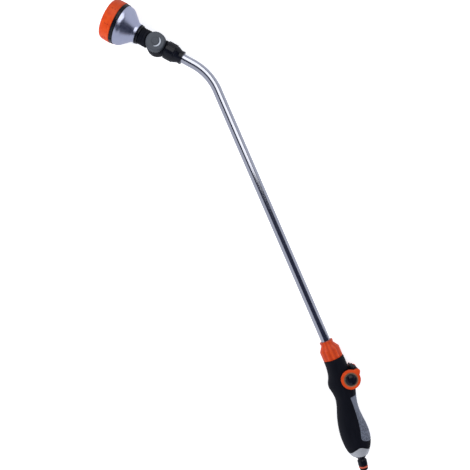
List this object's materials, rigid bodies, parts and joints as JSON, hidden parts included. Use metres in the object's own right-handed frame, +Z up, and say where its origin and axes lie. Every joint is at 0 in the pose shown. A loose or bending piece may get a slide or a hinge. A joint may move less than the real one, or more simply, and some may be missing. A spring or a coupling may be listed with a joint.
{
  "type": "watering wand",
  "caption": "Watering wand with a bent metal tube, a grip with a thumb flow lever, a swivelling bell-shaped spray head with a turning dial, and a hose connector.",
  "frame": {"origin": "on the floor, below the middle of the wand as it lies on its side", "axes": "+X along the tube from the handle to the bend, +Y to the side that the head bends to, +Z up from the floor that the wand lies on"},
  "size_m": [0.912, 0.1823, 0.0735],
  "materials": {
    "soft_black": "soft-touch satin",
    "hard_black": "satin moulded",
    "palm_grey": "fine textured",
    "silver_paint": "satin silver paint",
    "orange": "semi-gloss moulded",
    "tube_aluminium": "polished",
    "bell_metal": "satin painted",
    "knob_grey": "matt moulded",
    "light_grey": "flat",
    "inner_grey": "satin moulded",
    "seal_rubber": "matt",
    "orange_rubber": "semi-gloss",
    "steel": "bright",
    "brass": "turned"
  },
  "bodies": {
    "handle": {"handle_core": "hard_black", "grip_sleeve": "soft_black", "palm_insert": "palm_grey", "end_cap": "silver_paint", "inlet_connector": "hard_black", "connector_o_ring": "orange_rubber", "inlet_washer": "seal_rubber", "inlet_filter": "steel", "wand_tube": "tube_aluminium", "handle_tube_seal": "seal_rubber", "handle_ferrule": "brass", "head_end_tube_seal": "seal_rubber", "head_end_ferrule": "brass", "swivel_inlet": "hard_black", "swivel_o_ring": "seal_rubber", "clamp_bolt": "steel"},
    "handle_nut_ring": {"handle_nut": "orange"},
    "tube_nut_ring": {"head_end_nut": "hard_black"},
    "lever": {"valve_spool": "inner_grey", "spool_o_rings": "seal_rubber", "lever_cheek_near": "orange", "lever_cheek_far": "orange", "lever_cap_near": "hard_black", "lever_cap_far": "hard_black", "lever_screws": "steel", "thumb_pad": "soft_black"},
    "head": {"swivel_outlet": "hard_black", "head_washer": "seal_rubber", "bell_housing": "bell_metal", "index_ring": "hard_black", "index_spring": "steel", "water_guide": "inner_grey", "guide_screws": "steel", "port_seal": "seal_rubber", "seal_spring": "steel", "dial_washer": "steel", "dial_screw": "steel"},
    "head_nut_ring": {"head_nut": "hard_black"},
    "knob": {"swivel_knob": "knob_grey", "knob_mark": "light_grey", "knob_insert": "brass"},
    "dial": {"selector_plate": "inner_grey", "face_plate": "inner_grey", "dial_ring": "orange", "centre_cap": "inner_grey"}
  },
  "joints": [
    {"name": "lever_turn", "type": "hinge", "parent": "handle", "child": "lever", "pos_m": [-0.29779, -0.06968, 0.0246], "axis": [0.0164, 0.0028, -0.9999], "range_deg": [0, 90]},
    {"name": "handle_nut_turn", "type": "hinge", "parent": "handle", "child": "handle_nut_ring", "pos_m": [-0.2398, -0.05808, 0.02559], "axis": [0.9999, 0, 0.0164], "range_deg": [0, 360]},
    {"name": "tube_nut_turn", "type": "hinge", "parent": "handle", "child": "tube_nut_ring", "pos_m": [0.34654, -0.00501, 0.03535], "axis": [0.7879, 0.6157, 0.0146], "range_deg": [0, 360]},
    {"name": "head_swivel", "type": "hinge", "parent": "handle", "child": "head", "pos_m": [0.36151, 0.00668, 0.03562], "axis": [-0.0164, -0.0028, 0.9999], "range_deg": [-90, 90]},
    {"name": "knob_turn", "type": "hinge", "parent": "handle", "child": "knob", "pos_m": [0.36139, 0.00666, 0.04312], "axis": [-0.0164, -0.0028, 0.9999], "range_deg": [0, 360]},
    {"name": "head_nut_turn", "type": "hinge", "parent": "head", "child": "head_nut_ring", "pos_m": [0.38578, 0.02565, 0.03608], "axis": [0.7879, 0.6157, 0.0146], "range_deg": [0, 360]},
    {"name": "dial_turn", "type": "hinge", "parent": "head", "child": "dial", "pos_m": [0.42147, 0.05353, 0.03674], "axis": [0.7879, 0.6157, 0.0146], "continuous": true, "deforming": ["index_spring"]}
  ]
}
